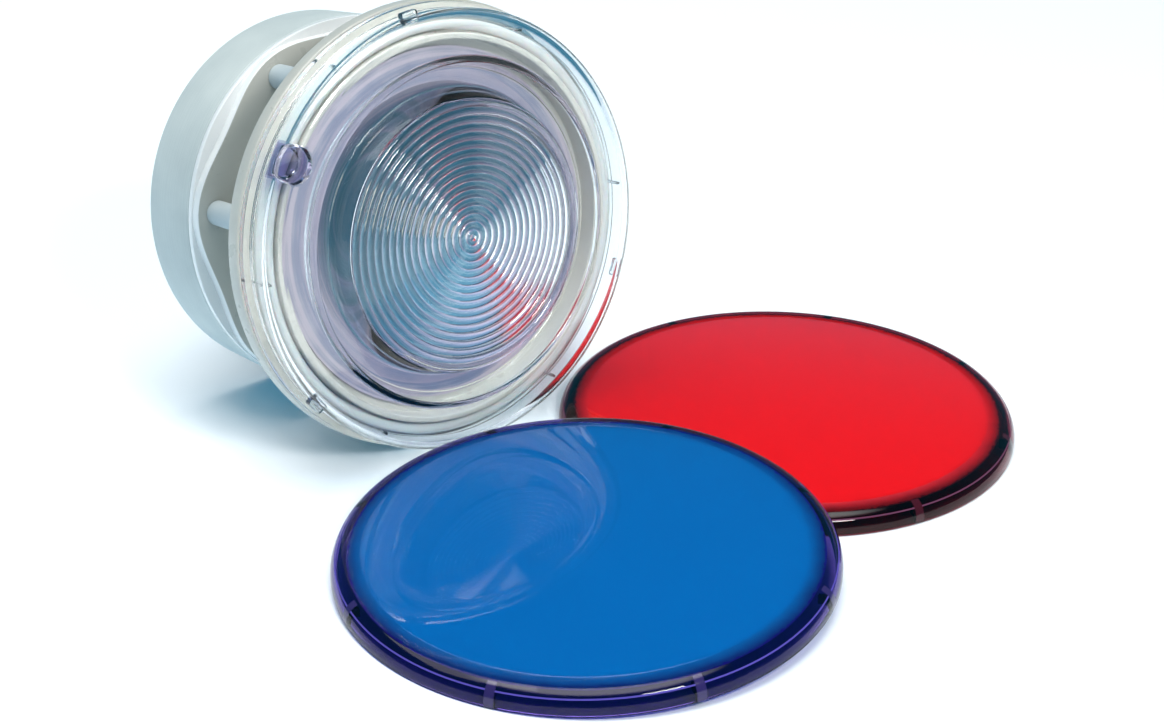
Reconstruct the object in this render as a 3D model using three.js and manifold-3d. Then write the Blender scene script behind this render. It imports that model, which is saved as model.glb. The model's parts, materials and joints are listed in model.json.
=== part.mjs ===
// A wall-mounted underwater light with its two clip-on colour lens caps.
// Millimetres, +Z up. The light lies on its flange and its rear drum and faces -Y.
// The red cap lies flat beside it, and the blue cap leans on the red one.
// Stations along the light are measured from the lens's front rim, and run negative to the rear.
import * as THREE from "three";
import { mergeVertices } from "three/addons/utils/BufferGeometryUtils.js";
import Module from "manifold-3d";

const wasm = await Module();
wasm.setup();

// Driving dimensions
const RIM_R = 105; // the lens's front rim
const RIM_ROUND = 8.3; // its rounded edge
const FLANGE_R = 107.5; // the housing's flange, the widest part of the light
const FLANGE_BACK_Z = -32;
const LENS_BACK_Z = -24;
const LENS_WALL = 3.5;
const DISC_R = 65.6; // the raised, domed centre of the lens
const DISC_Z = 3.8;
const APEX_Z = 7.5;
const MOAT_OUT_R = 80.4; // the recess around the domed centre
const MOAT_FLOOR_Z = -10;
const PLATE_FRONT_Z = -85.5;
const PLATE_T = 8.2;
const PLATE_RIM_T = 3.2; // the plate's round rim, behind its lobes
const LOBES = 7;
const LOBE_START = -88.3; // degrees
const LOBE_MEAN_R = 89.8;
const LOBE_WAVE = 2.6; // how far the lobes stand out from the mean radius
const STANDOFF_CIRCLE_R = 82;
const STANDOFF_R = 6;
const SCREW_R = 2;
const DRUM_FRONT_R = 93;
const DRUM_BACK_R = 91.5;
const DRUM_BACK_Z = -133.5;
const DRUM_WALL = 4;
const BORE_R = 20; // water passage through the wall
const PIPE_R = 24;
const PIPE_BACK_Z = -175.5;
const PIPE_FLANGE_R = 36;
const PIPE_FLANGE_T = 4;
const CAP_R = 113;
const CAP_H = 10.5;
const CAP_ROUND = 8.5;
const CAP_WALL = 2.8;
const CAP_RIBS = 8;
const GAP = 0.3; // between pieces that touch

// Where the caps lie, from the point of the floor below the middle of the front rim
const RED_CENTRE = new THREE.Vector2(140.3, -78.2);
const BLUE_CENTRE = new THREE.Vector2(-28, -128.1);

// Sides of a turned piece. All are multiples of four, so a corner lies at the bottom.
const LARGE = 40;
const MEDIUM = 24;
const SMALL = 12;

const COLOUR = {
  grey: { color: 0xc9cdc6, roughness: 0.7, metalness: 0 },
  white: { color: 0xf1f1ec, roughness: 0.35, metalness: 0 },
  clear: { color: 0xcfe0ea, roughness: 0.05, metalness: 0 },
  blue: { color: 0x0861b0, roughness: 0.08, metalness: 0 },
  red: { color: 0xde2126, roughness: 0.08, metalness: 0 },
  rubber: { color: 0x1b1c1e, roughness: 0.8, metalness: 0 },
  steel: { color: 0xb8bbbe, roughness: 0.3, metalness: 1 },
  mirror: { color: 0xe6e8ea, roughness: 0.1, metalness: 1 },
  ceramic: { color: 0xe8e0cf, roughness: 0.6, metalness: 0 },
  glass: { color: 0xe9f2f5, roughness: 0.02, metalness: 0 },
  black: { color: 0x232427, roughness: 0.5, metalness: 0 },
};

// A named piece with its own material
function piece(name, geometry, colour) {
  const mesh = new THREE.Mesh(geometry, new THREE.MeshStandardMaterial(COLOUR[colour]));
  mesh.name = name;
  return mesh;
}

// A solid turned about +Z. The profile's [r, z] points run outwards below and upwards outside,
// and it either starts and ends on the axis or closes on itself.
function turned(profile, segments = LARGE) {
  const points = profile.map(([r, z]) => new THREE.Vector2(r, z));
  const startsOnAxis = profile[0][0] === 0;
  if (!startsOnAxis) points.push(points[0].clone());
  return new THREE.LatheGeometry(points, segments).rotateX(Math.PI / 2);
}

// Points of an arc about [r, z], from one angle to another in degrees
function arc(r, z, radius, from, to, steps) {
  const points = [];
  for (let i = 0; i <= steps; i += 1) {
    const angle = THREE.MathUtils.degToRad(from + ((to - from) * i) / steps);
    points.push([r + radius * Math.cos(angle), z + radius * Math.sin(angle)]);
  }
  return points;
}

// A plain round bar along +Z, used as a piece or as a cutter
function bar(radius, from, to, segments = SMALL) {
  return turned([[0, from], [radius, from], [radius, to], [0, to]], segments);
}

function extruded(shape, from, to) {
  const options = { depth: to - from, bevelEnabled: false, curveSegments: 6 };
  return new THREE.ExtrudeGeometry(shape, options).translate(0, 0, from);
}

function toSolid(geometry) {
  const bare = geometry.clone();
  bare.deleteAttribute("normal");
  bare.deleteAttribute("uv");
  const merged = mergeVertices(bare, 1e-4);
  const triVerts = new Uint32Array(merged.index.array);
  const vertProperties = merged.attributes.position.array;
  return new wasm.Manifold(new wasm.Mesh({ numProp: 3, vertProperties, triVerts }));
}

function toGeometry(solid) {
  const mesh = solid.getMesh();
  const geometry = new THREE.BufferGeometry();
  geometry.setAttribute("position", new THREE.BufferAttribute(mesh.vertProperties, 3));
  geometry.setIndex(new THREE.BufferAttribute(mesh.triVerts, 1));
  return geometry;
}

// The base geometry with some added to it and others cut from it
function combined(base, added, removed) {
  let solid = toSolid(base);
  for (const geometry of added) solid = solid.add(toSolid(geometry));
  for (const geometry of removed) solid = solid.subtract(toSolid(geometry));
  return toGeometry(solid);
}

// Evenly spaced places round a circle. The first is at the bottom unless a start is given.
function around(count, radius, start = -90) {
  return Array.from({ length: count }, (_, i) => {
    const angle = THREE.MathUtils.degToRad(start + (360 * i) / count);
    return { x: radius * Math.cos(angle), y: radius * Math.sin(angle), angle };
  });
}

// Copies of one geometry at the given places
function copies(geometry, places) {
  return places.map(({ x, y, angle }) => geometry.clone().rotateZ(angle).translate(x, y, 0));
}

const lobePlaces = around(LOBES, STANDOFF_CIRCLE_R, LOBE_START);
const plateBackZ = PLATE_FRONT_Z - PLATE_T;
const drumFrontZ = plateBackZ - GAP;
const drumWallBackZ = drumFrontZ - DRUM_WALL;

// Hollow drum that stands against the wall. It is open to the rear, inside a lip for the gasket.
function rearDrum() {
  const lipIn = DRUM_BACK_R - 10;
  const lipFrontZ = DRUM_BACK_Z + 4;
  const shell = turned([
    [PIPE_R + GAP, drumWallBackZ],
    [DRUM_FRONT_R - DRUM_WALL, drumWallBackZ],
    [DRUM_BACK_R - DRUM_WALL, lipFrontZ],
    [lipIn, lipFrontZ],
    [lipIn, DRUM_BACK_Z],
    [DRUM_BACK_R, DRUM_BACK_Z],
    [DRUM_FRONT_R, drumFrontZ],
    [PIPE_R + GAP, drumFrontZ],
  ]);
  const hole = bar(SCREW_R + GAP, drumWallBackZ - 1, drumFrontZ + 1);
  return combined(shell, [], copies(hole, lobePlaces));
}

// Plate with rounded lobes on a round rim, a seat for the pipe's flange and a hole in each lobe
function lobedPlate() {
  const start = THREE.MathUtils.degToRad(LOBE_START);
  const outline = around(LOBES * 8, 1, LOBE_START).map(({ x, y, angle }) => {
    const radius = LOBE_MEAN_R + LOBE_WAVE * Math.cos(LOBES * (angle - start));
    return new THREE.Vector2(x, y).multiplyScalar(radius);
  });
  const rim = bar(DRUM_FRONT_R, plateBackZ, plateBackZ + PLATE_RIM_T, LARGE);
  const lobes = extruded(new THREE.Shape(outline), plateBackZ + 1, PLATE_FRONT_Z);
  const through = bar(PIPE_R + GAP, plateBackZ - 1, PLATE_FRONT_Z + 1, MEDIUM);
  const seat = bar(PIPE_FLANGE_R + GAP, PLATE_FRONT_Z - PIPE_FLANGE_T, PLATE_FRONT_Z + 1, MEDIUM);
  const hole = bar(SCREW_R + GAP, plateBackZ - 1, PLATE_FRONT_Z + 1);
  return combined(rim, [lobes], [through, seat, ...copies(hole, lobePlaces)]);
}

// Hollow pipe that carries water through the wall, with a flange that sits in the lobed plate
function returnNipple() {
  const flangeBackZ = PLATE_FRONT_Z - PIPE_FLANGE_T + GAP;
  const chamfer = 1.5;
  return turned([
    [BORE_R, PIPE_BACK_Z],
    [PIPE_R - chamfer, PIPE_BACK_Z],
    [PIPE_R, PIPE_BACK_Z + chamfer],
    [PIPE_R, flangeBackZ],
    [PIPE_FLANGE_R, flangeBackZ],
    [PIPE_FLANGE_R, PLATE_FRONT_Z],
    [BORE_R, PLATE_FRONT_Z],
  ], MEDIUM);
}

// Rubber ring between the drum and the wall
function rimGasket() {
  const front = DRUM_BACK_Z - GAP;
  const back = front - 2;
  const outer = DRUM_BACK_R - 2;
  const inner = outer - 7;
  return turned([[inner, back], [outer, back], [outer, front], [inner, front]]);
}

const washerBackZ = -160.5;
const washerFrontZ = washerBackZ + 2;

// Flat ring that lets the locknut turn on the wall
function slipWasher() {
  const inner = PIPE_R + GAP;
  return turned([
    [inner, washerBackZ],
    [40, washerBackZ],
    [40, washerFrontZ],
    [inner, washerFrontZ],
  ], MEDIUM);
}

// Six-sided nut with a collar, clamping the wall from its outer side
function wallLocknut() {
  const front = washerBackZ - GAP;
  const collarBack = front - 3;
  const back = collarBack - 10;
  const collar = bar(39, collarBack, front, MEDIUM);
  const hexagon = bar(36, back, collarBack + 0.5, 6);
  const bore = bar(PIPE_R + GAP, back - 1, front + 1, MEDIUM);
  return combined(collar, [hexagon], [bore]);
}

const standoffBackZ = PLATE_FRONT_Z + GAP;
const standoffFrontZ = FLANGE_BACK_Z - GAP;

// Tube that holds the housing clear of the plate, so that water can leave between them
function standoff() {
  return turned([
    [SCREW_R + GAP, standoffBackZ],
    [STANDOFF_R, standoffBackZ],
    [STANDOFF_R, standoffFrontZ],
    [SCREW_R + GAP, standoffFrontZ],
  ], SMALL);
}

const screwTipZ = FLANGE_BACK_Z + 4;

// Pan-head screw from inside the drum into the housing's flange
function plateScrew() {
  const underHeadZ = drumWallBackZ - GAP;
  const headBackZ = underHeadZ - 2.6;
  return turned([
    [0, headBackZ],
    [3.2, headBackZ],
    [4.2, underHeadZ - 0.8],
    [4.2, underHeadZ],
    [SCREW_R, underHeadZ],
    [SCREW_R, screwTipZ],
    [0, screwTipZ],
  ], 8);
}

const flangeFrontZ = LENS_BACK_Z - GAP;
const collarFrontZ = -12.5;
const bowlBackZ = -71;
const bowlFloorZ = bowlBackZ + 3;
const GLAND_HOLE_R = 6.5;

// Opaque body: a flange, a collar that the lens fits over, and a bowl for the lamp
function lampHousing() {
  const bowl = turned([
    [GLAND_HOLE_R, bowlBackZ],
    [54, bowlBackZ],
    [60, bowlBackZ + 7],
    [74, FLANGE_BACK_Z - 2],
    [76, FLANGE_BACK_Z],
    [FLANGE_R, FLANGE_BACK_Z],
    [FLANGE_R, flangeFrontZ],
    [93, flangeFrontZ],
    [93, collarFrontZ],
    [90, collarFrontZ],
    [90, flangeFrontZ],
    [73, flangeFrontZ],
    [71, FLANGE_BACK_Z - 2],
    [56, bowlFloorZ + 4],
    [52, bowlFloorZ],
    [GLAND_HOLE_R, bowlFloorZ],
  ]);
  const blindHole = bar(SCREW_R + GAP, FLANGE_BACK_Z - 1, screwTipZ + GAP);
  return combined(bowl, [], copies(blindHole, lobePlaces));
}

// Seal between the housing's collar and the lens's skirt
function lensOring() {
  const middle = 96.4;
  const section = 2.9;
  return turned(arc(middle, -17.6, section, -157.5, 157.5, 7));
}

// Clear shell: skirt, rounded rim, flat face, recess and raised domed centre
function lensShell(wall) {
  const rimCentreR = RIM_R - RIM_ROUND;
  const dome = 5;
  const outside = [
    [FLANGE_R - 1, LENS_BACK_Z],
    [FLANGE_R - 1, LENS_BACK_Z + 4],
    [RIM_R - 1.2, LENS_BACK_Z + 5.5],
    ...arc(rimCentreR, -RIM_ROUND, RIM_ROUND, 0, 90, 4),
    [MOAT_OUT_R, 0],
    [MOAT_OUT_R - 3, MOAT_FLOOR_Z],
    [DISC_R + 3, MOAT_FLOOR_Z],
    [DISC_R, DISC_Z],
    ...domePoints(DISC_R, DISC_Z, APEX_Z, dome),
  ];
  const inside = [
    ...domePoints(DISC_R - wall, DISC_Z - wall, APEX_Z - wall, dome).reverse(),
    [DISC_R - wall, DISC_Z - wall],
    [DISC_R - 1, MOAT_FLOOR_Z - wall],
    [MOAT_OUT_R, MOAT_FLOOR_Z - wall],
    [MOAT_OUT_R + 3, -wall],
    ...arc(rimCentreR, -RIM_ROUND, RIM_ROUND - wall, 90, 0, 3),
    [rimCentreR + RIM_ROUND - wall - 1, LENS_BACK_Z],
  ];
  return turned([...inside, ...outside]);
}

// A shallow dome from its edge, which isn't repeated, to its top on the axis
function domePoints(edgeR, edgeZ, topZ, steps) {
  return Array.from({ length: steps }, (_, i) => {
    const r = edgeR * (1 - (i + 1) / steps);
    return [r, topZ - (topZ - edgeZ) * (r / edgeR) ** 2];
  });
}

// The shell with a thumb notch in its rim and three small snap lugs on its skirt
function clearLens() {
  const notchR = 8.3;
  const notchPlace = around(1, RIM_R - 4.5, 148);
  const pocketBackZ = -11.5;
  const pocket = bar(notchR + 2.6, pocketBackZ, -1.5, 16);
  const notch = bar(notchR, pocketBackZ + 2.2, 2, 16);
  const lug = new THREE.BoxGeometry(7, 9, 4).translate(0, 0, -10);
  const lugs = copies(lug, around(3, RIM_R + 1, 96));
  const envelope = bar(RIM_R - 0.4, LENS_BACK_Z, -0.5, LARGE);
  const pocketInside = toSolid(copies(pocket, notchPlace)[0]).intersect(toSolid(envelope));
  return combined(lensShell(LENS_WALL), [toGeometry(pocketInside), ...lugs], copies(notch, notchPlace));
}

// Thin bright dish with a flat rim that rests on the housing
function reflector() {
  const rimZ = flangeFrontZ + GAP;
  const skin = 1.2;
  const holeR = 11;
  const edgeR = 70;
  const bottomZ = -57;
  const steps = 5;
  const curve = (r) => bottomZ + (rimZ - bottomZ) * (r / edgeR) ** 2;
  const radii = Array.from({ length: steps + 1 }, (_, i) => holeR + ((edgeR - holeR) * i) / steps);
  const underside = radii.map((r) => [r, curve(r)]);
  const upside = radii.map((r) => [r - skin / 2, curve(r) + skin]).reverse();
  return turned([...underside, [86, rimZ], [86, rimZ + skin], ...upside]);
}

const bracketTopZ = -62;

// Bent strap that carries the lamp holder above the gland
function socketBracket() {
  const t = 1.2;
  const foot = 32;
  const leg = 20;
  const footTopZ = bowlFloorZ + GAP + t;
  const bottomZ = bowlFloorZ + GAP;
  const shape = new THREE.Shape([
    new THREE.Vector2(-foot, bottomZ),
    new THREE.Vector2(-leg + t, bottomZ),
    new THREE.Vector2(-leg + t, bracketTopZ - t),
    new THREE.Vector2(leg - t, bracketTopZ - t),
    new THREE.Vector2(leg - t, bottomZ),
    new THREE.Vector2(foot, bottomZ),
    new THREE.Vector2(foot, footTopZ),
    new THREE.Vector2(leg, footTopZ),
    new THREE.Vector2(leg, bracketTopZ),
    new THREE.Vector2(-leg, bracketTopZ),
    new THREE.Vector2(-leg, footTopZ),
    new THREE.Vector2(-foot, footTopZ),
  ]);
  const strap = extruded(shape, -8, 8).rotateX(Math.PI / 2);
  return combined(strap, [], [bar(6, bracketTopZ - 3, bracketTopZ + 1)]);
}

const PIN_X = 3.2;
const PIN_R = 0.7;
const LEAD_X = 2.2;
const holderBackZ = bracketTopZ + GAP;
const holderFrontZ = -50;

// Ceramic two-pin lamp holder
function lampSocket() {
  const body = turned([
    [0, holderBackZ],
    [10, holderBackZ],
    [10, holderBackZ + 3],
    [8, holderBackZ + 4],
    [8, holderFrontZ],
    [0, holderFrontZ],
  ], MEDIUM);
  const pinHole = bar(PIN_R + GAP, holderFrontZ - 9.5, holderFrontZ + 1, 8);
  return combined(body, [], [-PIN_X, PIN_X].map((x) => pinHole.clone().translate(x, 0, 0)));
}

const capsuleBackZ = holderFrontZ + GAP;

// Halogen capsule: a rounded glass envelope
function lampCapsule() {
  const radius = 5.8;
  const shoulderZ = capsuleBackZ + 24;
  return turned([
    [0, capsuleBackZ],
    [radius, capsuleBackZ],
    [radius, shoulderZ],
    ...arc(0, shoulderZ, radius, 30, 60, 1),
    [0, shoulderZ + radius],
  ], SMALL);
}

function lampPin(x) {
  return bar(PIN_R, holderFrontZ - 8.8, capsuleBackZ - GAP, 8).translate(x, 0, 0);
}

const glandBackZ = -88;

// Gland body under the bowl, with a stub through its floor and a bore for the cord
function cableGland() {
  const boreR = 4;
  const seatZ = bowlBackZ - GAP;
  return turned([
    [boreR, glandBackZ],
    [7, glandBackZ],
    [9, glandBackZ + 4],
    [9, seatZ - 5],
    [11, seatZ - 5],
    [11, seatZ],
    [GLAND_HOLE_R - GAP, seatZ],
    [GLAND_HOLE_R - GAP, bowlFloorZ + 2.8],
    [boreR, bowlFloorZ + 2.8],
  ], SMALL);
}

// Hexagonal nut that holds the gland from inside the bowl
function glandNut() {
  const back = bowlFloorZ + GAP;
  const front = back + 2.2;
  return combined(bar(11, back, front, 6), [], [bar(GLAND_HOLE_R, back - 1, front + 1)]);
}

// Wire from the lamp holder down into the gland
function lead(x) {
  return bar(1.2, glandBackZ + 2, holderBackZ - GAP, 8).translate(x, 0, 0);
}

// Colour cap: flat top, rounded shoulder, short wall and snap ribs inside, the first at an angle
function lensCap(firstRib) {
  const shoulderR = CAP_R - CAP_ROUND;
  const shoulderZ = CAP_H - CAP_ROUND;
  const shell = turned([
    [0, CAP_H - CAP_WALL],
    ...arc(shoulderR, shoulderZ, CAP_ROUND - CAP_WALL, 90, 0, 3),
    [CAP_R - CAP_WALL, 0],
    [CAP_R, 0],
    ...arc(shoulderR, shoulderZ, CAP_ROUND, 0, 90, 4),
    [0, CAP_H],
  ]);
  const ribIn = RIM_R + 0.5;
  const ribOut = CAP_R - CAP_WALL + 0.6;
  const rib = new THREE.BoxGeometry(ribOut - ribIn, 2.4, 4).translate(0, 0, 3.6);
  return combined(shell, copies(rib, around(CAP_RIBS, (ribIn + ribOut) / 2, firstRib)), []);
}

// The light, built along its own axis
function lightPieces() {
  const light = new THREE.Group();
  light.add(
    piece("rear_drum", rearDrum(), "grey"),
    piece("rim_gasket", rimGasket(), "rubber"),
    piece("lobed_plate", lobedPlate(), "white"),
    piece("return_nipple", returnNipple(), "white"),
    piece("slip_washer", slipWasher(), "black"),
    piece("wall_locknut", wallLocknut(), "white"),
    piece("lamp_housing", lampHousing(), "white"),
    piece("lens_oring", lensOring(), "rubber"),
    piece("clear_lens", clearLens(), "clear"),
    piece("reflector", reflector(), "mirror"),
    piece("socket_bracket", socketBracket(), "steel"),
    piece("lamp_socket", lampSocket(), "ceramic"),
    piece("lamp_capsule", lampCapsule(), "glass"),
    piece("lamp_pin_1", lampPin(-PIN_X), "steel"),
    piece("lamp_pin_2", lampPin(PIN_X), "steel"),
    piece("lead_1", lead(-LEAD_X), "black"),
    piece("lead_2", lead(LEAD_X), "black"),
    piece("cable_gland", cableGland(), "black"),
    piece("gland_nut", glandNut(), "black"),
  );
  lobePlaces.forEach(({ x, y }, i) => {
    const tube = piece(`standoff_${i + 1}`, standoff(), "white");
    const screw = piece(`plate_screw_${i + 1}`, plateScrew(), "steel");
    tube.position.set(x, y, 0);
    screw.position.set(x, y, 0);
    light.add(tube, screw);
  });
  return light;
}

// The light lies on the rear edges of its flange and its drum, so its nose points slightly up.
function layOnItsSide(light) {
  const tilt = Math.atan2(FLANGE_R - DRUM_BACK_R, FLANGE_BACK_Z - DRUM_BACK_Z);
  light.rotation.x = Math.PI / 2 - tilt;
  light.position.z = FLANGE_R * Math.cos(tilt) - FLANGE_BACK_Z * Math.sin(tilt);
}

// The blue cap's near edge is on the floor and its rim rests where it crosses the red cap's top.
function leanOnRedCap(cap) {
  const towardsRed = RED_CENTRE.clone().sub(BLUE_CENTRE);
  const distance = towardsRed.length();
  towardsRed.normalize();
  const rimIn = CAP_R - CAP_WALL;
  const flatTop = CAP_R - CAP_ROUND;
  const crossing = (distance ** 2 + rimIn ** 2 - flatTop ** 2) / (2 * distance);
  const angle = Math.asin((CAP_H + GAP) / (CAP_R + crossing));
  const nearEdge = BLUE_CENTRE.clone().addScaledVector(towardsRed, -CAP_R);
  const hinge = new THREE.Group();
  hinge.position.set(nearEdge.x, nearEdge.y, 0);
  hinge.quaternion.setFromAxisAngle(new THREE.Vector3(towardsRed.y, -towardsRed.x, 0), angle);
  cap.position.set(towardsRed.x * CAP_R, towardsRed.y * CAP_R, 0);
  hinge.add(cap);
  return hinge;
}

const group = new THREE.Group();

const light = lightPieces();
layOnItsSide(light);
group.add(light);

const redCap = piece("red_lens_cap", lensCap(-100), "red");
redCap.position.set(RED_CENTRE.x, RED_CENTRE.y, 0);
group.add(redCap);

group.add(leanOnRedCap(piece("blue_lens_cap", lensCap(-150), "blue")));

// The origin is on the floor, under the middle of the whole layout.
const middle = new THREE.Box3().setFromObject(group, true).getCenter(new THREE.Vector3());
group.position.set(-middle.x, -middle.y, 0);

export default group;
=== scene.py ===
import json
import math

import bmesh
import bpy
import numpy as np
from mathutils import Matrix, Vector


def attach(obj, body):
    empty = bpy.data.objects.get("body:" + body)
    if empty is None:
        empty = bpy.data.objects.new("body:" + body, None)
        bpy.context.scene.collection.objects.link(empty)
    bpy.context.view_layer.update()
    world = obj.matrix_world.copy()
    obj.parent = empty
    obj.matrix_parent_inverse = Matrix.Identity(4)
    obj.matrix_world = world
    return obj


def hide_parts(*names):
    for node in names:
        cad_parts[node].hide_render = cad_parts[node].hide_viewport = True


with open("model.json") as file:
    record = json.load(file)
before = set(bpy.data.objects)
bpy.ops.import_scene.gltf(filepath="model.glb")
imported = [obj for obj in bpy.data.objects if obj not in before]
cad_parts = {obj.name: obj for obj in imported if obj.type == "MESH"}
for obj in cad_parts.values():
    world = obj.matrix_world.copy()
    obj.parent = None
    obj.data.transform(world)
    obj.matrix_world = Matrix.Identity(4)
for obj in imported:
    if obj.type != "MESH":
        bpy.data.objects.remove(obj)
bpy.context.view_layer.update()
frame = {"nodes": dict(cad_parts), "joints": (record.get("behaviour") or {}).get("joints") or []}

joints = {joint["name"]: joint for joint in frame["joints"]}

MM = 0.001
ROUND = 160  # sides of a large turned piece
FINE = 64  # sides of a small one
SHARP = math.radians(40)

# Sizes that the CAD has too
RIM_R = 105
RIM_ROUND = 8.3
FLANGE_R = 107.5
FLANGE_BACK = -32
LENS_BACK = -24
LENS_WALL = 3.5
DISC_R = 65.6
DISC_Z = 3.8
APEX_Z = 7.5
MOAT_OUT_R = 80.4
MOAT_FLOOR = -10
NOTCH_ANGLE = 148
NOTCH_R = 8.3
PLATE_FRONT = -85.5
PLATE_T = 8.2
PLATE_RIM_T = 3.2
LOBES = 7
LOBE_START = -88.3
LOBE_MEAN_R = 89.8
LOBE_WAVE = 2.6
STANDOFF_CIRCLE_R = 82
STANDOFF_R = 6
DRUM_FRONT_R = 93
DRUM_BACK_R = 91.5
DRUM_BACK = -133.5
DRUM_WALL = 4
BORE_R = 20
PIPE_R = 24
PIPE_BACK = -175.5
PIPE_FLANGE_R = 36
PIPE_FLANGE_T = 4
WASHER_BACK = -160.5
WASHER_R = 40
WASHER_T = 2
NUT_COLLAR_R = 39
NUT_COLLAR_T = 3
NUT_CORNER_R = 36
NUT_HEX_T = 10
CAP_R = 113
CAP_H = 10.5
CAP_ROUND = 8.5
CAP_WALL = 2.8
CAP_RIBS = 8
GAP = 0.3

# Detail that only the looks have
LENS_RIBS = 17
RIB_EDGE_SLOPE = 52
THREAD_PITCH = 2.209
THREAD_DEPTH = 0.9

plate_back = PLATE_FRONT - PLATE_T
drum_front = plate_back - GAP
drum_wall_back = drum_front - DRUM_WALL
flange_front = LENS_BACK - GAP
bowl_back = -71
bowl_floor = bowl_back + 3


# ---------------------------------------------------------------- frames


def light_frame():
    """The light's own frame: Z forward along its axis and Y up, from the lens's joint."""
    twist = joints["lens_twist"]
    forward = Vector(twist["axis"]).normalized()
    right = Vector((1, 0, 0))
    axes = Matrix((right, forward.cross(right), forward)).transposed().to_4x4()
    return Matrix.Translation(twist["pos_m"]) @ axes


def cap_frame(node):
    """A cap's own frame, from the flat top of its CAD solid: Z up through the top."""
    mesh = frame["nodes"][node].data
    top = max(mesh.polygons, key=lambda face: (face.normal.z > 0.5, face.area))
    up = top.normal.normalized()
    height = max(vertex.co.dot(up) for vertex in mesh.vertices)
    flat = [v.co for v in mesh.vertices if height - v.co.dot(up) < 0.1 * MM]
    centre = sum(flat, Vector()) / len(flat)
    side = (Vector((1, 0, 0)) - up * up.x).normalized()
    axes = Matrix((side, up.cross(side), up)).transposed().to_4x4()
    return Matrix.Translation(centre - up * CAP_H * MM) @ axes


LIGHT = light_frame()
RED = cap_frame("red_lens_cap")
BLUE = cap_frame("blue_lens_cap")


# ---------------------------------------------------------------- mesh building


def turn(radius, degrees):
    """The point on a circle about the origin at an angle from X"""
    angle = math.radians(degrees)
    return radius * math.cos(angle), radius * math.sin(angle)


def arc(r, z, radius, start, end, steps):
    """Points of an arc about (r, z), from one angle to another in degrees"""
    points = []
    for i in range(steps + 1):
        across, along = turn(radius, start + (end - start) * i / steps)
        points.append((r + across, z + along))
    return points


def eased(corners, radius, steps=3, ends=False):
    """The outline with its corners rounded. With ends, the first and last points stay."""
    outline = []
    for i, corner in enumerate(corners):
        here = Vector(corner)
        before = Vector(corners[i - 1]) - here
        after = Vector(corners[(i + 1) % len(corners)]) - here
        if ends and i in (0, len(corners) - 1):
            outline.append(tuple(here))
            continue
        cut = min(radius, 0.45 * before.length, 0.45 * after.length)
        first = here + before.normalized() * cut
        last = here + after.normalized() * cut
        for k in range(steps + 1):
            t = k / steps
            outline.append(tuple(first * (1 - t) ** 2 + here * 2 * t * (1 - t) + last * t * t))
    return outline


def skin(rings, loop):
    """Vertices and faces of a skin over rings of points. A ring of one point closes an end."""
    starts = np.cumsum([0] + [len(ring) for ring in rings])
    pairs = list(zip(range(len(rings)), range(1, len(rings))))
    if loop:
        pairs.append((len(rings) - 1, 0))
    faces = []
    for a, b in pairs:
        size = max(len(rings[a]), len(rings[b]))
        for i in range(size):
            j = (i + 1) % size
            corners = [
                starts[a] + i % len(rings[a]),
                starts[a] + j % len(rings[a]),
                starts[b] + j % len(rings[b]),
                starts[b] + i % len(rings[b]),
            ]
            faces.append([int(c) for c in dict.fromkeys(corners)])
    return [tuple(point) for ring in rings for point in ring], faces


def turned(profile, sides=ROUND, angles=None):
    """A solid turned about Z. The profile starts and ends on the axis, or closes on itself."""
    if angles is None:
        angles = [360 * i / sides for i in range(sides)]
    rings = []
    for r, z in profile:
        ring = [(*turn(r, angle), z) for angle in angles]
        rings.append(ring if r > 0 else [(0, 0, z)])
    return skin(rings, loop=profile[0][0] > 0)


def inset(outline, distance):
    """A closed outline moved inwards, for one that runs anticlockwise about the origin"""
    points = np.array(outline, float)
    along = np.roll(points, -1, 0) - np.roll(points, 1, 0)
    along /= np.linalg.norm(along, axis=1)[:, None]
    inwards = np.stack([-along[:, 1], along[:, 0]], 1)
    return [tuple(point) for point in points + inwards * distance]


def prism(outline, back, front, ease=0.4, hole=None):
    """An outline pulled along Z, with eased edges and a round hole where one is given"""
    steps = 3
    rings = []
    for z, sign in ((back, 1), (front, -1)):
        edge = []
        for k in range(steps + 1):
            angle = math.pi / 2 * k / steps
            rim = inset(outline, ease * (1 - math.sin(angle)))
            edge.append([(x, y, z + sign * ease * (1 - math.cos(angle))) for x, y in rim])
        rings += edge if sign > 0 else edge[::-1]
    if hole is None:
        vertices, faces = skin(rings, loop=False)
        count = len(outline)
        faces.append(list(range(count)))
        faces.append(list(range(len(vertices) - count, len(vertices))))
        return vertices, faces
    directions = [math.degrees(math.atan2(y, x)) for x, y in outline]
    for z in (front, back):
        rings.append([(*turn(hole, angle), z) for angle in directions])
    return skin(rings, loop=True)


def block(length, width, radius=0.4):
    """The outline of a rectangle about the origin, anticlockwise and with rounded corners"""
    x, y = length / 2, width / 2
    return eased([(x, -y), (x, y), (-x, y), (-x, -y)], radius)


def moved(part, x=0, y=0, z=0, degrees=0):
    """A part turned about Z and then moved"""
    vertices, faces = part
    place = Matrix.Translation((x, y, z)) @ Matrix.Rotation(math.radians(degrees), 4, "Z")
    return [tuple(place @ Vector(v)) for v in vertices], faces


def around(part, count, radius, start=-90):
    """Copies of a part, evenly spaced round a circle"""
    angles = [start + 360 * i / count for i in range(count)]
    return [moved(part, *turn(radius, angle), 0, angle) for angle in angles]


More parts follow.
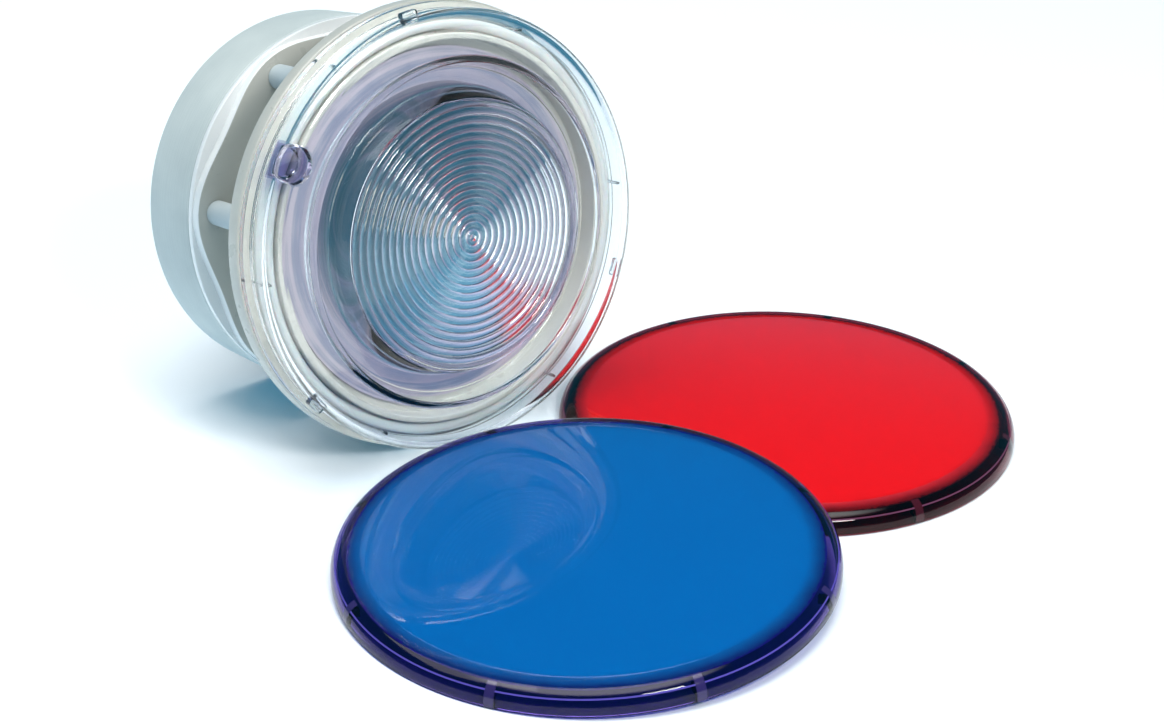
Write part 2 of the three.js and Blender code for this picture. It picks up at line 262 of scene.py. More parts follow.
def swept(path, radius, sides=10):
    """A round wire along a path of points"""
    points = [Vector(p) for p in path]
    rings = [[points[0]]]
    side = Vector((0, 0, 1)).cross(points[1] - points[0])
    side = side if side.length > 1e-6 else Vector((1, 0, 0))
    for i, point in enumerate(points):
        along = (points[min(i + 1, len(points) - 1)] - points[max(i - 1, 0)]).normalized()
        side = (side - along * side.dot(along)).normalized()
        other = along.cross(side)
        ring = []
        for k in range(sides):
            across, up = turn(radius, 360 * k / sides)
            ring.append(point + side * across + other * up)
        rings.append(ring)
    rings.append([points[-1]])
    return skin(rings, loop=False)


def make(name, parts, place, body, material, nodes=()):
    """One visible piece from its parts. It rides on a body and stands for some CAD nodes."""
    vertices, faces = [], []
    for part_vertices, part_faces in parts:
        offset = len(vertices)
        vertices += part_vertices
        faces += [[offset + i for i in face] for face in part_faces]
    mesh = bpy.data.meshes.new(name)
    mesh.from_pydata([place @ (Vector(v) * MM) for v in vertices], [], faces)
    edit = bmesh.new()
    edit.from_mesh(mesh)
    bmesh.ops.recalc_face_normals(edit, faces=edit.faces)
    edit.to_mesh(mesh)
    edit.free()
    local = mesh.attributes.new("local", "FLOAT_VECTOR", "POINT")
    local.data.foreach_set("vector", np.array(vertices, np.float32).ravel())
    mesh.shade_smooth()
    mesh.set_sharp_from_angle(angle=SHARP)
    mesh.materials.append(material)
    piece = bpy.data.objects.new(name, mesh)
    bpy.context.scene.collection.objects.link(piece)
    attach(piece, body)
    if nodes:
        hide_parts(*nodes)
    return piece


def paint(piece, material, chosen):
    """Gives a further material to the faces whose middles, in the piece's own mm, are chosen."""
    mesh = piece.data
    mesh.materials.append(material)
    local = mesh.attributes["local"].data
    for face in mesh.polygons:
        corners = [local[i].vector for i in face.vertices]
        middle = sum(corners, Vector()) / len(corners)
        if chosen(middle):
            face.material_index = len(mesh.materials) - 1


def paint_flat(piece, material, height):
    """Gives a further material to the flat faces at one height along the piece's axis."""
    paint(piece, material, lambda middle: abs(middle.z - height) < 0.05)


# ---------------------------------------------------------------- material building


class Shader:
    """A node material under construction. Its coordinates are a piece's own millimetres."""

    def __init__(self, name, **values):
        self.material = bpy.data.materials.new(name)
        self.material.use_nodes = True
        self.tree = self.material.node_tree
        self.surface = self.tree.nodes["Principled BSDF"]
        self.output = self.tree.nodes["Material Output"]
        for socket, value in values.items():
            self.set(socket.replace("_", " "), value)

    def set(self, socket, value):
        """Sets one of the surface's sockets to a value or links a node's output to it."""
        self.feed(self.surface.inputs[socket], value)

    def feed(self, socket, value):
        """Links a node's output to a socket, or sets the socket to a value or a colour."""
        if isinstance(value, bpy.types.NodeSocket):
            self.tree.links.new(value, socket)
        elif isinstance(value, tuple) and len(value) == 3 and socket.type == "RGBA":
            socket.default_value = (*value, 1)
        else:
            socket.default_value = value

    def node(self, kind, inputs=(), output=0, **settings):
        """Adds a node, feeds its inputs by place, and returns one of its outputs."""
        node = self.tree.nodes.new(kind)
        for name, value in settings.items():
            setattr(node, name, value)
        for place, value in dict(inputs).items():
            self.feed(node.inputs[place], value)
        return node.outputs[output]

    def own(self, scale=(1, 1, 1)):
        """The piece's own millimetres, scaled along each axis"""
        local = self.node("ShaderNodeAttribute", output="Vector", attribute_name="local")
        inputs = {0: local, 1: scale}
        return self.node("ShaderNodeVectorMath", inputs, operation="MULTIPLY")

    def row(self):
        """Millimetres of the row frame, for a CAD solid that stays: its object sits at the origin"""
        place = self.node("ShaderNodeTexCoord", output="Object")
        inputs = {0: place, 1: (1 / MM, 1 / MM, 1 / MM)}
        return self.node("ShaderNodeVectorMath", inputs, operation="MULTIPLY")

    def noise(self, vector, scale, detail=3, roughness=0.5):
        """Cloudy noise, from 0 to 1"""
        inputs = {"Vector": vector, "Scale": scale, "Detail": detail, "Roughness": roughness}
        return self.node("ShaderNodeTexNoise", inputs)

    def stripes(self, along, scale, detail):
        """Noise that changes along one measure only, such as the distance from the axis"""
        inputs = {"W": along, "Scale": scale, "Detail": detail}
        return self.node("ShaderNodeTexNoise", inputs, noise_dimensions="1D")

    def math(self, operation, first, second=0.0, third=0.0):
        return self.node("ShaderNodeMath", {0: first, 1: second, 2: third}, operation=operation)

    def radius(self):
        """Distance from the piece's own axis"""
        return self.node("ShaderNodeVectorMath", {0: self.own((1, 1, 0))}, "Value", operation="LENGTH")

    def station(self):
        """Place along the piece's own axis"""
        return self.node("ShaderNodeSeparateXYZ", {0: self.own()}, "Z")

    def span(self, value, start, end, low, high):
        """Maps a value from one range to another, held at both ends"""
        inputs = {"Value": value, "From Min": start, "From Max": end, "To Min": low, "To Max": high}
        return self.node("ShaderNodeMapRange", inputs)

    def ramp(self, factor, stops):
        """A colour ramp through (place, colour) stops"""
        node = self.tree.nodes.new("ShaderNodeValToRGB")
        self.feed(node.inputs[0], factor)
        elements = node.color_ramp.elements
        while len(elements) < len(stops):
            elements.new(1.0)
        for element, (place, colour) in zip(elements, stops):
            element.position = place
            element.color = (*colour, 1)
        return node.outputs[0]

    def bump(self, height, distance):
        """Relief of that many metres. It takes over the surface's normal."""
        inputs = {"Height": height, "Distance": distance, "Strength": 1.0}
        self.set("Normal", self.node("ShaderNodeBump", inputs))


def plastic(name, colour, roughness, spread=0.06, grain=0.00003, vector="own", **values):
    """Moulded plastic with faint clouds of colour, uneven gloss and a fine orange peel"""
    shader = Shader(name, **values)
    place = shader.own() if vector == "own" else shader.row()
    clouds = shader.noise(place, 0.03, 4)
    dark = tuple(c * (1 - spread) for c in colour)
    light = tuple(min(1.0, c * (1 + spread)) for c in colour)
    shader.set("Base Color", shader.ramp(clouds, [(0.3, dark), (0.7, light)]))
    smears = shader.noise(place, 0.11, 5)
    shader.set("Roughness", shader.span(smears, 0.3, 0.7, roughness * 0.8, roughness * 1.25))
    shader.bump(shader.noise(place, 1.1, 3), grain)
    return shader.material


def turned_grey():
    """The drum: matt grey plastic with fine lines round it from a lathe"""
    shader = Shader("turned_grey")
    lines = shader.stripes(shader.station(), 2.3, 6)
    clouds = shader.noise(shader.own(), 0.025, 4)
    tone = shader.math("MULTIPLY_ADD", lines, 0.55, shader.math("MULTIPLY", clouds, 0.45))
    stops = [(0.32, (0.38, 0.42, 0.41)), (0.5, (0.48, 0.52, 0.5)), (0.68, (0.58, 0.61, 0.58))]
    shader.set("Base Color", shader.ramp(tone, stops))
    shader.set("Roughness", shader.span(lines, 0.3, 0.7, 0.42, 0.62))
    shader.bump(lines, 0.00009)
    return shader.material


def clear(name, tint, roughness, **values):
    """Clear plastic or glass. Lamps reach what is behind it."""
    shader = Shader(name, Transmission_Weight=1.0, **values)
    clouds = shader.noise(shader.own(), 0.02, 3)
    pale = tuple(c ** 0.7 for c in tint)
    glassy(shader, shader.ramp(clouds, [(0.35, tint), (0.65, pale)]), roughness)
    return shader.material


def tinted(name, face, rim, roughness, **values):
    """Coloured clear plastic, painted much darker in its rim, where the wall is seen edge on: painted shade
    """
    shader = Shader(name, Transmission_Weight=1.0, **values)
    clouds = shader.noise(shader.own(), 0.15, 3)
    reach = shader.math("MULTIPLY_ADD", clouds, 2.5, shader.radius())
    shoulder = CAP_R - CAP_ROUND
    # Painted shade: the colour ramps from the face tint to the dark rim tint near the rim
    painted_rim_shade = shader.span(reach, shoulder - 5.5, shoulder + 2.5, 0.0, 1.0)
    glassy(shader, shader.ramp(painted_rim_shade, [(0.0, face), (1.0, rim)]), roughness)
    return shader.material


def glassy(shader, colour, roughness):
    """Colours a transmitting surface, smears its gloss, and lets lamps reach through it."""
    shader.set("Base Color", colour)
    smears = shader.noise(shader.own(), 0.09, 4)
    shader.set("Roughness", shader.span(smears, 0.35, 0.7, roughness * 0.5, roughness * 1.5))
    lamps = shader.node("ShaderNodeLightPath", output="Is Shadow Ray")
    through = shader.node("ShaderNodeBsdfTransparent", {0: colour})
    both = shader.node("ShaderNodeMixShader", {0: lamps, 1: shader.surface.outputs[0], 2: through})
    shader.feed(shader.output.inputs["Surface"], both)


def frosted_back(name, face, edge):
    """The etched underside of a cap's face, which gives the cap its even colour. Towards its edge the
    colour is painted darker: painted shade
    """
    shader = Shader(name, Roughness=0.9)
    clouds = shader.noise(shader.own(), 0.4, 5)
    reach = shader.math("MULTIPLY_ADD", clouds, 3.0, shader.radius())
    inner = 0.92 * CAP_R
    outer = CAP_R - CAP_ROUND
    # Painted shade: the face colour darkens to the edge colour near the rim
    painted_rim_shade = shader.span(reach, inner, outer + 2, 0.0, 1.0)
    shader.set("Base Color", shader.ramp(painted_rim_shade, [(0.0, face), (0.75, face), (1.0, edge)]))
    shader.bump(shader.noise(shader.own(), 2.0, 4), 0.00002)
    return shader.material


def bright_dish():
    """The reflector: bright aluminium, whose colour is painted reflection: blue within, and painted streaks
    and lilac towards its rim
    """
    shader = Shader("bright_dish", Metallic=0.6)
    radius = shader.radius()
    clouds = shader.noise(shader.own(), 0.05, 3)
    bands = shader.stripes(radius, 0.3, 5)
    uneven = shader.math("ADD", clouds, shader.math("MULTIPLY", bands, 3.0))
    reach = shader.math("MULTIPLY_ADD", uneven, 10.0, radius)
    place = shader.span(reach, 20, 110, 0.0, 1.0)
    # Painted reflection: these colours stand for surroundings mirrored in the dish, not for a coloured
    # finish
    within, painted_streak, lilac, rim = (0.045, 0.14, 0.2), (0.2, 0.22, 0.32), (0.36, 0.31, 0.39), (0.5, 0.44, 0.5)
    stops = [(0.0, within), (0.55, within), (0.7, painted_streak), (0.78, lilac), (0.86, painted_streak), (0.94, rim)]
    shader.set("Base Color", shader.ramp(place, stops))
    rings = shader.stripes(radius, 1.4, 4)
    shader.set("Roughness", shader.span(rings, 0.3, 0.7, 0.42, 0.62))
    shader.bump(rings, 0.00012)
    return shader.material


def metal(name, colour, roughness, vector="own"):
    """Brushed or drawn metal with uneven gloss"""
    shader = Shader(name, Metallic=1.0)
    place = shader.own() if vector == "own" else shader.row()
    stretched = shader.node("ShaderNodeVectorMath", {0: place, 1: (1, 1, 0.15)}, operation="MULTIPLY")
    marks = shader.noise(stretched, 1.5, 5)
    dark = tuple(c * 0.82 for c in colour)
    shader.set("Base Color", shader.ramp(marks, [(0.3, dark), (0.7, colour)]))
    shader.set("Roughness", shader.span(marks, 0.3, 0.7, roughness * 0.7, roughness * 1.4))
    shader.bump(marks, 0.00002)
    return shader.material


def rubber():
    """Black rubber with a fine dusty grain"""
    shader = Shader("black_rubber")
    grain = shader.noise(shader.own(), 1.6, 6, 0.7)
    shader.set("Base Color", shader.ramp(grain, [(0.3, (0.018, 0.018, 0.02)), (0.75, (0.05, 0.05, 0.054))]))
    shader.set("Roughness", shader.span(grain, 0.3, 0.7, 0.62, 0.85))
    shader.bump(grain, 0.00012)
    return shader.material


def ceramic():
    """Unglazed ceramic of the lamp holder, whose CAD solid stays"""
    shader = Shader("steatite")
    specks = shader.noise(shader.row(), 2.2, 6, 0.75)
    shader.set("Base Color", shader.ramp(specks, [(0.25, (0.6, 0.55, 0.45)), (0.6, (0.78, 0.74, 0.64))]))
    shader.set("Roughness", shader.span(specks, 0.3, 0.7, 0.5, 0.75))
    shader.bump(specks, 0.00008)
    return shader.material


# Cream plastic of the housing, also used as painted shade on the plate's front face
cream_and_shade = plastic("cream_plastic", (0.46, 0.45, 0.4), 0.32, 0.05, Coat_Weight=0.3, Coat_Roughness=0.12)
white = plastic("white_plastic", (0.74, 0.74, 0.72), 0.22, 0.04, Coat_Weight=0.5, Coat_Roughness=0.08)
matt_white = plastic("matt_white_plastic", (0.42, 0.47, 0.48), 0.55, 0.08, 0.00006)
black = plastic("black_nylon", (0.03, 0.031, 0.034), 0.45, 0.25, 0.00005)
black_row = plastic("black_nylon_small", (0.03, 0.031, 0.034), 0.4, 0.25, 0.00004, "row")
silicone = plastic("silicone", (0.5, 0.51, 0.5), 0.4, 0.06, Subsurface_Weight=0.2)
steel = metal("stainless_steel", (0.66, 0.66, 0.67), 0.3)
steel_row = metal("stainless_steel_small", (0.66, 0.66, 0.67), 0.3, "row")
tungsten = metal("tungsten", (0.42, 0.41, 0.4), 0.4)


# ---------------------------------------------------------------- the light, from the rear


def pipe_and_nut():
    """Threaded pipe through the wall, with its washer and locknut"""
    white_pipe = plastic("pipe_plastic", (0.8, 0.79, 0.75), 0.4, 0.05)
    core = PIPE_R - THREAD_DEPTH
    thread_front = drum_wall_back - 10
    flange_back = PLATE_FRONT - PIPE_FLANGE_T + GAP
    profile = eased([
        (BORE_R, PIPE_BACK),
        (core, PIPE_BACK),
        (core, thread_front),
        (PIPE_R, thread_front + 1),
        (PIPE_R, flange_back),
        (PIPE_FLANGE_R, flange_back),
        (PIPE_FLANGE_R, PLATE_FRONT),
        (BORE_R, PLATE_FRONT),
    ], 0.8)
    thread = thread_ridge(core, PIPE_R - 0.05, PIPE_BACK + 1.5, thread_front)
    make("threaded_pipe", [turned(profile, 96), thread], LIGHT, "light", white_pipe,
         ["return_nipple"])

    inner, outer = PIPE_R + GAP, WASHER_R
    washer_front = WASHER_BACK + WASHER_T
    washer = [(inner, WASHER_BACK), (outer, WASHER_BACK), (outer, washer_front), (inner, washer_front)]
    make("washer_ring", [turned(eased(washer, 0.3), 96)], LIGHT, "washer", black,
         ["slip_washer"])

    front = WASHER_BACK - GAP
    collar_back = front - NUT_COLLAR_T
    back = collar_back - NUT_HEX_T
    outer = NUT_COLLAR_R
    collar = [(inner, collar_back), (outer, collar_back), (outer, front), (inner, front)]
    corners = [turn(NUT_CORNER_R, 60 * i) for i in range(6)]
    hexagon = prism(eased(corners, 6, 8), back, collar_back + 0.5, 1.0, hole=inner)
    make("locknut_body", [turned(eased(collar, 0.6), 96), hexagon], LIGHT, "locknut", white,
         ["wall_locknut"])


def thread_ridge(root, crest, back, front):
    """One ridge wound round a pipe, pointed at its crest"""
    per_turn = 72
    steps = int((front - back) / THREAD_PITCH * per_turn)
    half = THREAD_PITCH * 0.42
    rings = []
    for i in range(steps + 1):
        angle = 360 * i / per_turn
        z = back + THREAD_PITCH * i / per_turn
        section = [(root - 0.1, z - half), (crest, z - 0.2), (crest, z + 0.2), (root - 0.1, z + half)]
        rings.append([(*turn(r, angle), s) for r, s in section])
    vertices, faces = skin(rings, loop=False)
    faces.append([0, 1, 2, 3])
    faces.append([len(vertices) - k for k in (1, 2, 3, 4)])
    return vertices, faces


def drum():
    """Grey drum against the wall, open to the rear inside its lip, and the gasket on that lip"""
    lip_in = DRUM_BACK_R - 10
    lip_front = DRUM_BACK + 4
    profile = eased([
        (PIPE_R + GAP, drum_wall_back),
        (DRUM_FRONT_R - DRUM_WALL, drum_wall_back),
        (DRUM_BACK_R - DRUM_WALL, lip_front),
        (lip_in, lip_front),
        (lip_in, DRUM_BACK),
        (DRUM_BACK_R, DRUM_BACK),
        (DRUM_FRONT_R, drum_front),
        (PIPE_R + GAP, drum_front),
    ], 0.8)
    make("drum_shell", [turned(profile)], LIGHT, "light", turned_grey(), ["rear_drum"])

    outer = DRUM_BACK_R - 2
    front = DRUM_BACK - GAP
    ring = [(outer - 7, front - 2), (outer, front - 2), (outer, front), (outer - 7, front)]
    make("gasket_ring", [turned(eased(ring, 0.5))], LIGHT, "light", rubber(), ["rim_gasket"])


def plate():
    """White plate: rounded lobes that carry the standoffs, on a round rim against the drum"""
    count = LOBES * 24
    outline = []
    for i in range(count):
        angle = 360 * i / count
        lobe = math.cos(math.radians(LOBES * (angle - LOBE_START)))
        outline.append(turn(LOBE_MEAN_R + LOBE_WAVE * lobe, angle))
    lobes = prism(outline, plate_back + 1, PLATE_FRONT, 0.7, hole=PIPE_FLANGE_R + GAP)
    inner, outer = PIPE_R + GAP, PIPE_FLANGE_R + 1
    seat_front = PLATE_FRONT - PIPE_FLANGE_T
    seat = [(inner, plate_back), (outer, plate_back), (outer, seat_front), (inner, seat_front)]
    body = make("plate_lobes", [lobes, turned(eased(seat, 0.3), 96)], LIGHT, "light", white,
                ["lobed_plate"])
    # Painted shade: the lobes' front face, in the shade behind the flange, gets the darker cream
    paint_flat(body, cream_and_shade, PLATE_FRONT)
    inner, outer = PIPE_R + 4, DRUM_FRONT_R
    rim_front = plate_back + PLATE_RIM_T
    rim = [(inner, plate_back), (outer, plate_back), (outer, rim_front), (inner, rim_front)]
    make("plate_rim", [turned(eased(rim, 0.5))], LIGHT, "light", white)


def standoffs_and_screws():
    """A round post in front of each lobe, and the screw through it from inside the drum"""
    post = turned(eased([
        (2 + GAP, PLATE_FRONT + GAP),
        (STANDOFF_R, PLATE_FRONT + GAP),
        (STANDOFF_R, FLANGE_BACK - GAP),
        (2 + GAP, FLANGE_BACK - GAP),
    ], 0.5), FINE)
    under_head = drum_wall_back - GAP
    head_back = under_head - 2.6
    tip = FLANGE_BACK + 4
    screw = turned(eased([
        (0, head_back + 1.4),
        (1.1, head_back + 1.4),
        (1.3, head_back),
        (2.8, head_back),
        (4.2, under_head - 0.9),
        (4.2, under_head),
        (2, under_head),
        (2, tip - 1.5),
        (0, tip),
    ], 0.3, ends=True), 32)
    for i in range(LOBES):
        x, y = turn(STANDOFF_CIRCLE_R, LOBE_START + 360 / LOBES * i)
        make(f"post_{i + 1}", [moved(post, x, y)], LIGHT, "light", matt_white,
             [f"standoff_{i + 1}"])
        make(f"screw_{i + 1}", [moved(screw, x, y)], LIGHT, "light", steel,
             [f"plate_screw_{i + 1}"])


def housing():
    """Opaque body behind the lens: bowl, flange and the collar inside the lens's skirt"""
    gland_hole = 6.5
    profile = eased([
        (gland_hole, bowl_back),
        (54, bowl_back),
        (60, bowl_back + 7),
        (74, FLANGE_BACK - 2),
        (76, FLANGE_BACK),
        (FLANGE_R, FLANGE_BACK),
        (FLANGE_R, flange_front),
        (93, flange_front),
        (93, -12.5),
        (90, -12.5),
        (90, flange_front),
        (73, flange_front),
        (71, FLANGE_BACK - 2),
        (56, bowl_floor + 4),
        (52, bowl_floor),
        (gland_hole, bowl_floor),
    ], 0.9)
    make("housing_body", [turned(profile)], LIGHT, "light", cream_and_shade, ["lamp_housing"])
    seal = turned(arc(96.4, -17.6, 2.9, -165, 165, 16))
    make("lens_seal", [seal], LIGHT, "light", silicone, ["lens_oring"])


def lamp():
    """Reflector, and the halogen capsule with its filament"""
    rim = flange_front + GAP
    bottom = -57
    skin_t = 1.2
    hole, edge, lip_r = 11, 70, 86
    radii = [hole + (edge - hole) * i / 30 for i in range(31)]
    under = [(r, bottom + (rim - bottom) * (r / edge) ** 2) for r in radii]
    upper = [(r - skin_t / 2, z + skin_t) for r, z in reversed(under)]
    dish = turned([*under, (lip_r, rim), (lip_r, rim + skin_t), *upper])
    make("reflector_dish", [dish], LIGHT, "light", bright_dish(), ["reflector"])

    back = -50 + GAP
    radius = 5.8
    wall = 0.8
    shoulder = back + 24
    outside = [(0, back), (radius, back), *arc(0, shoulder, radius, 0, 88, 10)]
    inside = [*arc(0, shoulder, radius - wall, 88, 0, 10), (radius - wall, back + 4), (0, back + 3.5)]
    envelope = turned([*outside, (0, shoulder + radius)], 48)
    hollow = turned([(0, shoulder + radius - wall), *inside], 48)
    quartz = clear("quartz", (0.93, 0.95, 0.96), 0.03, IOR=1.46)
    make("capsule_glass", [envelope, hollow], LIGHT, "lamp", quartz, ["lamp_capsule"])
    coil = []
    for i in range(161):
        across, up = turn(0.7, 360 * i / 16)
        coil.append((across, up, back + 14 + 6 * i / 160))
    posts = [
        swept([(x, 0, back + 1), (x, 0, back + 12), (x * 0.35, 0, end)], 0.25)
        for x, end in ((-2.2, back + 14), (2.2, back + 20))
    ]
    make("filament", [swept(coil, 0.14, 8), *posts], LIGHT, "lamp", tungsten)


# ---------------------------------------------------------------- the lens


def ribbed_dome():
    """The lens's front from its centre to the dome's edge, with rounded rings all over it"""
    pitch = (DISC_R - 1.2) / LENS_RIBS
    half = pitch / 2
    ring_r = half / math.sin(math.radians(RIB_EDGE_SLOPE))
    foot = ring_r * math.cos(math.radians(RIB_EDGE_SLOPE))
    steps = 8
    points = [(0, 0.9), (0.6, 0.75), (1.1, 0.2), (1.5, -0.1)]
    for k in range(LENS_RIBS):
        middle = pitch * (k + 0.5)
        for i in range(steps + 1):
            lean = math.radians(RIB_EDGE_SLOPE * (2 * i / steps - 1))
            r = middle + ring_r * math.sin(lean)
            if r > 1.8:
                points.append((r, ring_r * math.cos(lean) - foot))
    points += [(DISC_R - 0.9, 0.3), (DISC_R - 0.3, 0.1)]
    return [(r, dome(r) + height) for r, height in points]


def dome(r):
    """Station of the lens's smooth dome at a radius, under its rings"""
    return APEX_Z - 0.9 - (APEX_Z - 0.9 - DISC_Z) * (r / DISC_R) ** 2


def lens_profile():
    """Closed outline of the clear shell: inside from the axis out, then outside back to it"""
    centre_r = RIM_R - RIM_ROUND
    flat = [(r, 0) for r in np.arange(centre_r - 0.5, MOAT_OUT_R + 1, -0.5)]
    outside = [
        *eased([(FLANGE_R - 1, LENS_BACK), (FLANGE_R - 1, -20.6), (103.4, -20), (103.4, -18.8),
                (104.2, -18.2), (104.2, -17.2), (103.7, -16.6)], 0.35, ends=True),
        *[(RIM_R - 1.3 * (t - 1) ** 2, -16.6 + 8 * t) for t in np.arange(0.1, 1, 0.1)],
        *arc(centre_r, -RIM_ROUND, RIM_ROUND, 0, 90, 26),
        *flat,
        *eased([(MOAT_OUT_R + 0.6, 0), (MOAT_OUT_R, -0.3), (MOAT_OUT_R - 3, MOAT_FLOOR),
                (DISC_R + 3, MOAT_FLOOR), (DISC_R, DISC_Z - 0.6)], 1.2, 5, ends=True),
    ]
    outside += [(r, z) for r, z in reversed(ribbed_dome())]
    under = [(r, dome(r) - LENS_WALL) for r in np.linspace(0, DISC_R - LENS_WALL, 30)]
    flat_inside = [(r, -LENS_WALL) for r in np.arange(MOAT_OUT_R + 5, centre_r, 0.5)]
    inside = [
        *under[:-1],
        *eased([under[-1], (DISC_R - 1, MOAT_FLOOR - LENS_WALL), (MOAT_OUT_R, MOAT_FLOOR - LENS_WALL),
                (MOAT_OUT_R + 3, -LENS_WALL), (MOAT_OUT_R + 4.8, -LENS_WALL)], 1.0, 4, ends=True),
        *flat_inside,
        *arc(centre_r, -RIM_ROUND, RIM_ROUND - LENS_WALL, 90, 0, 16),
        (centre_r + RIM_ROUND - LENS_WALL - 0.6, -16),
        (centre_r + RIM_ROUND - LENS_WALL - 1, LENS_BACK),
    ]
    return [*inside, *outside]


def scooped(part):
    """The lens with the thumb notch pressed into its rim"""
    vertices, faces = part
    x, y = turn(RIM_R - 4.5, NOTCH_ANGLE)
    bitten = []
    for vertex in vertices:
        away = math.hypot(vertex[0] - x, vertex[1] - y)
        radius = math.hypot(vertex[0], vertex[1])
        under = vertex[2] <= -LENS_WALL + 0.01 and radius < RIM_R - LENS_WALL + 0.3
        floor = -9.3 + 2.2 * (away / NOTCH_R) ** 2 - (2.6 if under else 0)
        share = min(1, max(0, (NOTCH_R + 0.8 - away) / 2.4))
        share = share * share * (3 - 2 * share)
        z = vertex[2] + share * (min(vertex[2], floor) - vertex[2])
        bitten.append((vertex[0], vertex[1], z))
    return bitten, faces


def lens():
    """Clear moulded lens. Its notch has closely spaced sides, and its wall a darker tint, which is painted
    shade.
    """
    even = np.arange(0, 360, 360 / ROUND)
    close = np.arange(NOTCH_ANGLE - 6.5, NOTCH_ANGLE + 6.5, 0.3)
    keep = even[(even < close[0] - 0.5) | (even > close[-1] + 0.5)]
    angles = sorted([*keep, *close])
    shell = scooped(turned(lens_profile(), angles=angles))
    lug = prism(block(5, 9, 1.2), -12, -8, 0.8)
    lugs = around(lug, 3, RIM_R - 0.2, 96)
    key = prism(block(1.6, 1.0, 0.3), LENS_BACK + 1, -9, 0.3)
    keys = around(key, 6, RIM_R - LENS_WALL - 1.2, 60)
    material = clear("clear_polycarbonate", (0.93, 0.96, 0.975), 0.03, IOR=1.58)
    piece = make("lens_shell", [shell, *lugs, *keys], LIGHT, "lens", material,
                 ["clear_lens"])
    notch = Vector(turn(RIM_R - 4.5, NOTCH_ANGLE))
    # Painted shade: a darker tint on the notch's wall
    notch_shade = clear("notch_wall", (0.3, 0.3, 0.5), 0.03, IOR=1.58)
    paint(piece, notch_shade, lambda middle: (middle.xy - notch).length < NOTCH_R + 0.4 and middle.z > -14)


# ---------------------------------------------------------------- the caps


def cap_profile():
    """Closed outline of a cap from the axis: under its face, round its foot and over its top"""
    shoulder_r = CAP_R - CAP_ROUND
    shoulder_z = CAP_H - CAP_ROUND
    groove = CAP_R - CAP_ROUND - 5
    return [
        (0, CAP_H - CAP_WALL),
        (shoulder_r - 2, CAP_H - CAP_WALL),
        *arc(shoulder_r, shoulder_z, CAP_ROUND - CAP_WALL, 90, 0, 10),
        (CAP_R - CAP_WALL, 0.4),
        (CAP_R - CAP_WALL + 0.4, 0),
        (CAP_R - 0.5, 0),
        (CAP_R, 0.5),
        *arc(shoulder_r, shoulder_z, CAP_ROUND, 0, 90, 18),
        (groove + 0.5, CAP_H),
        (groove, CAP_H - 0.2),
        (groove - 0.5, CAP_H),
        (0, CAP_H),
    ]


def cap(colour, place, first_rib, tint, rim, face, edge):
    """A clip-on colour cap: clear coloured shell, etched behind its face, and ribs inside.
    The rim's darker tint, and the darker marks beside each rib where it thickens the wall, are painted
    shade."""
    shell = turned(cap_profile())
    rib_in = RIM_R + 0.5
    rib_out = CAP_R - CAP_WALL + 0.6
    rib = prism(block(rib_out - rib_in, 2.4, 0.5), 1.6, 5.6, 0.4)
    ribs = around(rib, CAP_RIBS, (rib_in + rib_out) / 2, first_rib)
    material = tinted(f"{colour}_plastic", tint, rim, 0.006, IOR=1.33)
    piece = make(f"{colour}_cap_shell", [shell, *ribs], place, f"{colour}_cap", material,
                 [f"{colour}_lens_cap"])
    paint_flat(piece, frosted_back(f"{colour}_etched", face, edge), CAP_H - CAP_WALL)
    # Painted shade: dark marks on the rim beside each rib
    rib_shade = plastic(f"{colour}_rib_painted_shade", tuple(0.35 * c for c in rim), 0.1)

    def beside_rib(middle):
        turn_by = math.degrees(math.atan2(middle.y, middle.x)) - first_rib
        off = abs((turn_by + 180 / CAP_RIBS) % (360 / CAP_RIBS) - 180 / CAP_RIBS)
        return off < 180 / ROUND and middle.xy.length > CAP_R - CAP_ROUND + 3

    paint(piece, rib_shade, beside_rib)


# ---------------------------------------------------------------- stage


def floor():
    """Plain pale floor"""
    shader = Shader("pale_floor", Roughness=0.9)
    place = shader.node("ShaderNodeTexCoord", output="Object")
    clouds = shader.noise(place, 1.5, 2)
    shader.set("Base Color", shader.ramp(clouds, [(0.3, (0.86, 0.89, 0.91)), (0.7, (0.88, 0.91, 0.93))]))
    mesh = bpy.data.meshes.new("floor")
    reach = 12
    corners = [(-reach, -reach, 0), (reach, -reach, 0), (reach, reach, 0), (-reach, reach, 0)]
    mesh.from_pydata(corners, [], [(0, 1, 2, 3)])
    mesh.materials.append(shader.material)
    piece = bpy.data.objects.new("floor", mesh)
    bpy.context.scene.collection.objects.link(piece)


def softbox(name, place, target, size, energy, colour):
    """A rectangular lamp that faces a point and that the camera doesn't see"""
    data = bpy.data.lights.new(name, "AREA")
    data.shape = "RECTANGLE"
    data.size, data.size_y = size
    data.energy = energy
    data.color = colour
    lamp_object = bpy.data.objects.new(name, data)
    lamp_object.location = place
    aim = Vector(target) - Vector(place)
    lamp_object.rotation_euler = aim.to_track_quat("-Z", "Y").to_euler()
    lamp_object.visible_camera = False
    bpy.context.scene.collection.objects.link(lamp_object)
    return lamp_object


def lamps():
    """A key lamp in front, a larger fill from the upper left, and a teal lamp lying on the floor.
    The teal one faces up and tints what faces down. Reflections and clear plastic don't show it."""
    middle = LIGHT.translation
    key = middle + Vector((-0.085, -0.781, 0.608)) * 1.3
    softbox("key", key, middle, (0.3, 0.24), 9, (1.0, 0.96, 0.93))
    fill = middle + Vector((-0.4, 0.45, 1.3))
    softbox("fill", fill, middle, (1.0, 0.8), 7, (1.0, 0.96, 0.9))
    low = Vector((0, 0, 0.0004))
    bounce = softbox("bounce", low, low + Vector((0, 0, 1)), (1.3, 1.3), 2.0, (0.0, 0.52, 0.95))
    bounce.visible_transmission = False
    bounce.visible_glossy = False


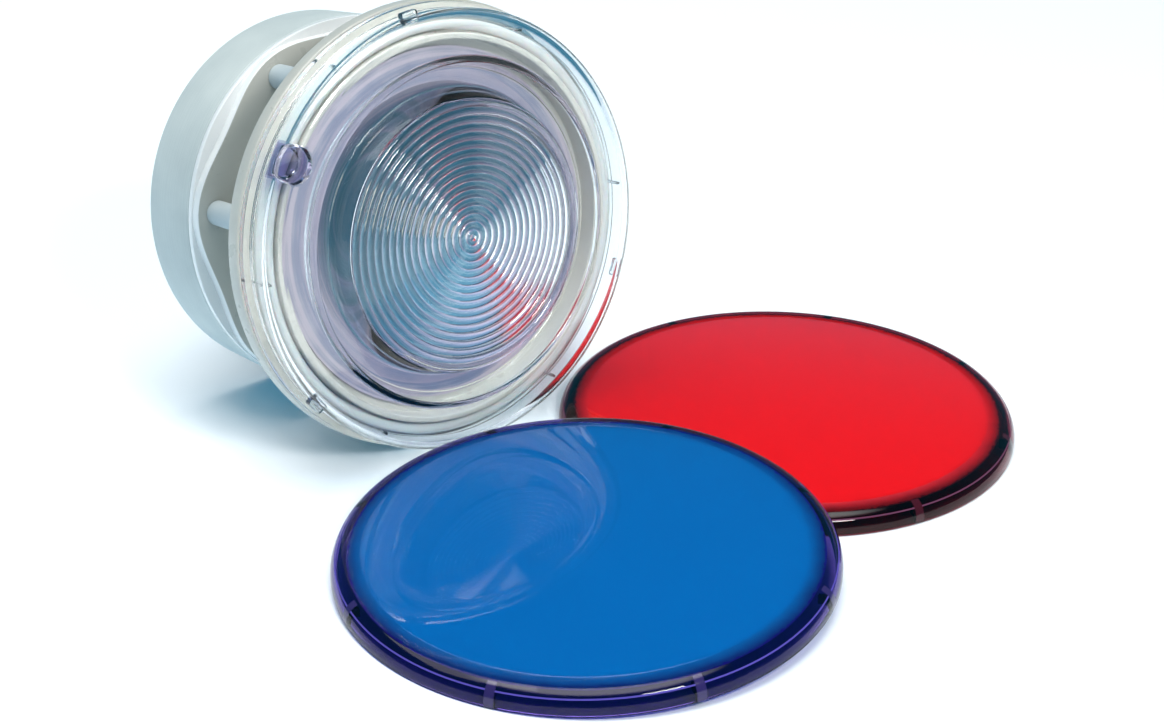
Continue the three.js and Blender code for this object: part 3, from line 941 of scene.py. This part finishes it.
def surroundings():
    """Soft white light from above, in a dim teal room"""
    world = bpy.data.worlds.new("studio")
    world.use_nodes = True
    tree = world.node_tree
    place = tree.nodes.new("ShaderNodeTexCoord")
    split = tree.nodes.new("ShaderNodeSeparateXYZ")
    ramp = tree.nodes.new("ShaderNodeValToRGB")
    room, light = ramp.color_ramp.elements
    room.position, light.position = 0.9, 0.96
    room.color = (0.005, 0.03, 0.048, 1)
    light.color = (1, 1, 1, 1)
    background = tree.nodes["Background"]
    background.inputs["Strength"].default_value = 6.2
    tree.links.new(place.outputs["Generated"], split.inputs[0])
    tree.links.new(split.outputs["Z"], ramp.inputs[0])
    tree.links.new(ramp.outputs[0], background.inputs["Color"])
    bpy.context.scene.world = world


def camera():
    """The photograph's viewing angle, from about 1.1 m away"""
    data = bpy.data.cameras.new("camera")
    data.sensor_width = 36
    data.lens = 72.1
    eye = bpy.data.objects.new("camera", data)
    rim_foot = LIGHT.translation.copy()
    rim_foot.z = 0
    eye.location = rim_foot + Vector((-0.5916, -0.8083, 0.546))
    heading, pitch, roll = 39.01, 26.58, -0.81
    eye.rotation_euler = (math.radians(90 - pitch), math.radians(roll), math.radians(-heading))
    bpy.context.scene.collection.objects.link(eye)
    bpy.context.scene.camera = eye


def repaint(nodes, material):
    """Gives CAD solids that stay a finished material"""
    for node in nodes:
        slots = frame["nodes"][node].data.materials
        slots.clear()
        slots.append(material)


pipe_and_nut()
drum()
plate()
standoffs_and_screws()
housing()
lamp()
lens()
# Each cap's tint and face colours are its own; its rim and edge colours are painted shade
cap("red", RED, -100, (0.86, 0.045, 0.07), (0.13, 0.008, 0.02), (0.47, 0.09, 0.085), (0.1, 0.015, 0.05))
cap("blue", BLUE, -150, (0.03, 0.36, 0.78), (0.07, 0.04, 0.24), (0.035, 0.21, 0.28), (0.06, 0.04, 0.3))
repaint(["socket_bracket", "lamp_pin_1", "lamp_pin_2"], steel_row)
repaint(["cable_gland", "gland_nut", "lead_1", "lead_2"], black_row)
repaint(["lamp_socket"], ceramic())
floor()
lamps()
surroundings()
camera()
bpy.context.scene.view_settings.view_transform = "Standard"
